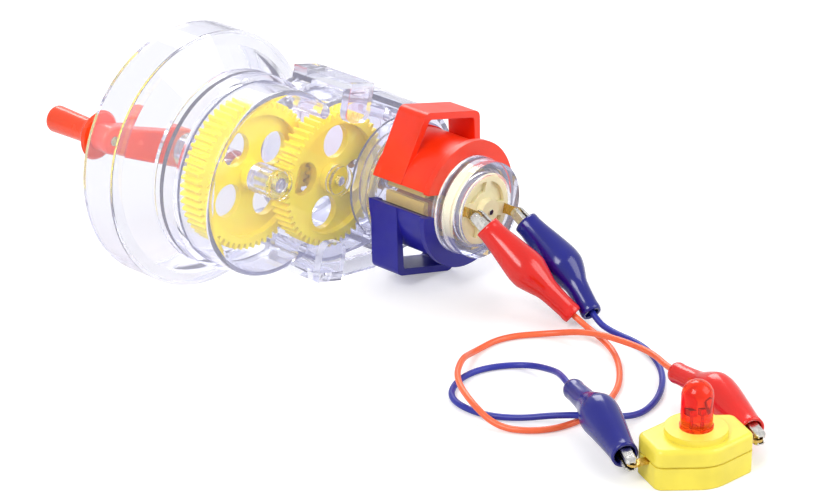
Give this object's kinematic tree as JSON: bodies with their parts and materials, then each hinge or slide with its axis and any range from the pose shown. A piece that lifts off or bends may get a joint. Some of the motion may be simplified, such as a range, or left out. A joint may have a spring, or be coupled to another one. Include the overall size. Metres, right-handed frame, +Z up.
{
  "type": "hand-cranked demonstration electric motor and generator with leads and lamp",
  "caption": "Clear hand-cranked demonstration motor and generator with geared crank, red and blue magnet holders, two clip leads and a yellow lamp holder with a red LED.",
  "frame": {"origin": "centre of the box round the generator, on the table it lies on (leads, clips and lamp left out)", "axes": "+X along the three shafts from the crank knob to the motor's terminals, +Z up, +Y from the crank shaft towards the motor"},
  "size_m": [0.2648, 0.1282, 0.0902],
  "materials": {
    "clear_plastic": "gloss",
    "gear_yellow": "satin",
    "crank_orange": "gloss",
    "holder_red": "gloss",
    "holder_blue": "gloss",
    "cream_plastic": "satin",
    "lamp_yellow": "gloss",
    "led_red": "gloss",
    "bright_steel": "polished",
    "brushed_steel": "brushed",
    "brass": "polished",
    "bronze": "satin",
    "gilt_core": "satin",
    "copper": "gloss",
    "carbon": "matte",
    "magnet_grey": "satin",
    "vinyl_red": "gloss",
    "vinyl_blue": "gloss",
    "cord_red": "satin",
    "cord_blue": "satin"
  },
  "bodies": {
    "stand": {"rear_housing": "clear_plastic", "front_cover": "clear_plastic", "motor_tube": "clear_plastic", "end_cap": "clear_plastic", "brush_holder": "cream_plastic", "terminal_left": "brass", "terminal_right": "brass", "brushes": "carbon", "rear_bearing": "bronze", "middle_bearing": "bronze", "idler_axle": "bright_steel", "lamp_cover": "lamp_yellow", "lamp_base": "lamp_yellow", "led_lens": "led_red", "led_frame": "bright_steel", "lamp_terminals": "brass", "red_lead": "cord_red", "blue_lead": "cord_blue", "red_motor_boot": "vinyl_red", "red_motor_fixed_jaw": "brushed_steel", "red_motor_spring": "brushed_steel", "red_motor_pin": "bright_steel", "blue_motor_boot": "vinyl_blue", "blue_motor_fixed_jaw": "brushed_steel", "blue_motor_spring": "brushed_steel", "blue_motor_pin": "bright_steel", "blue_lamp_boot": "vinyl_blue", "blue_lamp_fixed_jaw": "brushed_steel", "blue_lamp_spring": "brushed_steel", "blue_lamp_pin": "bright_steel", "red_lamp_boot": "vinyl_red", "red_lamp_fixed_jaw": "brushed_steel", "red_lamp_spring": "brushed_steel", "red_lamp_pin": "bright_steel"},
    "crank": {"crank_arm": "crank_orange", "crank_shaft": "bright_steel", "crank_screw": "bright_steel", "drive_gear": "gear_yellow", "knob_pin": "bright_steel"},
    "knob": {"knob": "crank_orange"},
    "reduction_gear": {"reduction_gear": "gear_yellow"},
    "armature": {"motor_shaft": "bright_steel", "motor_pinion": "bronze", "armature_core": "gilt_core", "windings": "copper", "commutator": "copper"},
    "red_magnet_holder": {"red_holder": "holder_red", "north_magnet": "magnet_grey"},
    "blue_magnet_holder": {"blue_holder": "holder_blue", "south_magnet": "magnet_grey"},
    "red_motor_jaw": {"red_motor_moving_jaw": "brushed_steel"},
    "blue_motor_jaw": {"blue_motor_moving_jaw": "brushed_steel"},
    "blue_lamp_jaw": {"blue_lamp_moving_jaw": "brushed_steel"},
    "red_lamp_jaw": {"red_lamp_moving_jaw": "brushed_steel"}
  },
  "joints": [
    {"name": "crank_turn", "type": "hinge", "parent": "stand", "child": "crank", "pos_m": [-0.0204, -0.01915, 0.045], "axis": [1, 0, 0], "continuous": true},
    {"name": "knob_turn", "type": "hinge", "parent": "crank", "child": "knob", "pos_m": [-0.0504, -0.04988, 0.05703], "axis": [1, 0, 0], "continuous": true},
    {"name": "gear_turn", "type": "hinge", "parent": "stand", "child": "reduction_gear", "pos_m": [0.0016, 0.00962, 0.03763], "axis": [1, 0, 0], "continuous": true},
    {"name": "armature_turn", "type": "hinge", "parent": "stand", "child": "armature", "pos_m": [0.0236, 0.03665, 0.0307], "axis": [1, 0, 0], "continuous": true},
    {"name": "red_holder_slide", "type": "slide", "parent": "stand", "child": "red_magnet_holder", "axis": [0, 0.2483, 0.9687], "range_m": [0, 0.02]},
    {"name": "blue_holder_slide", "type": "slide", "parent": "stand", "child": "blue_magnet_holder", "axis": [0, -0.2483, -0.9687], "range_m": [0, 0.02]},
    {"name": "red_motor_jaw_turn", "type": "hinge", "parent": "stand", "child": "red_motor_jaw", "pos_m": [0.0737, 0.02946, 0.02315], "axis": [-0.6042, -0.1978, -0.7719], "range_deg": [0, 12], "stiffness_Nm_per_rad": 0.02, "deforming": ["red_motor_spring", "red_motor_boot"]},
    {"name": "blue_motor_jaw_turn", "type": "hinge", "parent": "stand", "child": "blue_motor_jaw", "pos_m": [0.0755, 0.04694, 0.02], "axis": [-0.4925, -0.2161, -0.843], "range_deg": [0, 12], "stiffness_Nm_per_rad": 0.02, "deforming": ["blue_motor_spring", "blue_motor_boot"]},
    {"name": "blue_lamp_jaw_turn", "type": "hinge", "parent": "stand", "child": "blue_lamp_jaw", "pos_m": [0.16538, -0.02669, 0.00916], "axis": [-0.4932, -0.8699, 0], "range_deg": [0, 12], "stiffness_Nm_per_rad": 0.02, "deforming": ["blue_lamp_spring", "blue_lamp_boot"]},
    {"name": "red_lamp_jaw_turn", "type": "hinge", "parent": "stand", "child": "red_lamp_jaw", "pos_m": [0.18294, 0.0118, 0.00857], "axis": [-0.409, -0.9125, 0], "range_deg": [0, 12], "stiffness_Nm_per_rad": 0.02, "deforming": ["red_lamp_spring", "red_lamp_boot"]}
  ],
  "couplings": [
    {"joint": "gear_turn", "follows": "armature_turn", "ratio": -0.19231},
    {"joint": "crank_turn", "follows": "armature_turn", "ratio": 0.034341}
  ]
}
